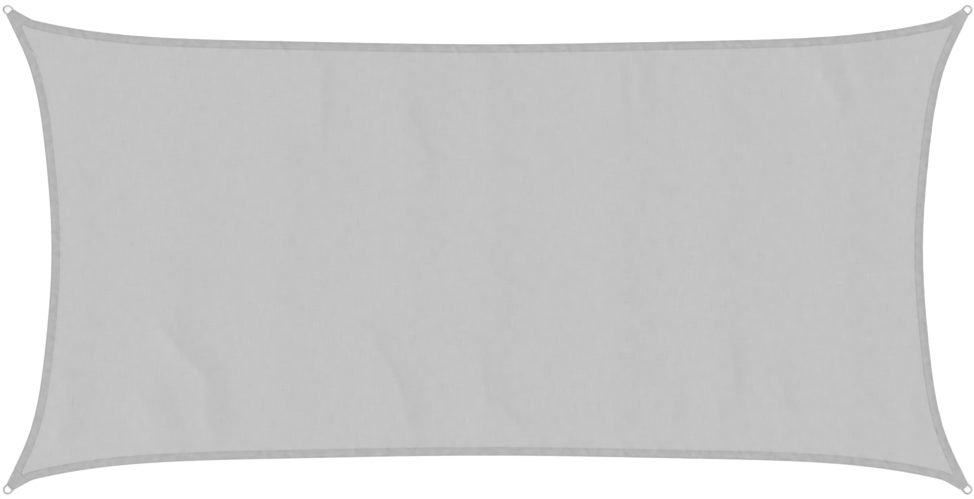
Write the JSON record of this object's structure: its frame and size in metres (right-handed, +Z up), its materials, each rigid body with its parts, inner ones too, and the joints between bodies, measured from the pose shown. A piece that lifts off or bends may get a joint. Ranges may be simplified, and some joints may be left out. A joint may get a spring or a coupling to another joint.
{
  "type": "shade sail",
  "caption": "Rectangular fabric shade sail with hollow-cut edges, a turned hem and a steel D-ring at each corner, laid out flat.",
  "frame": {"origin": "on the floor under the middle of the sail", "axes": "+X along the long side, +Y along the short side, +Z up, away from the floor"},
  "size_m": [5.0468, 2.5468, 0.0129],
  "materials": {
    "shade_cloth": "light grey close-knit shade cloth, matt",
    "patch_cloth": "the same cloth laid double, sewn down",
    "ring_steel": "smooth stainless steel wire"
  },
  "bodies": {
    "root": {"sail_cloth": "shade_cloth", "corner_patch_front_left": "patch_cloth", "corner_patch_front_right": "patch_cloth", "corner_patch_back_left": "patch_cloth", "corner_patch_back_right": "patch_cloth", "d_ring_front_left": "ring_steel", "d_ring_front_right": "ring_steel", "d_ring_back_left": "ring_steel", "d_ring_back_right": "ring_steel"}
  },
  "joints": []
}
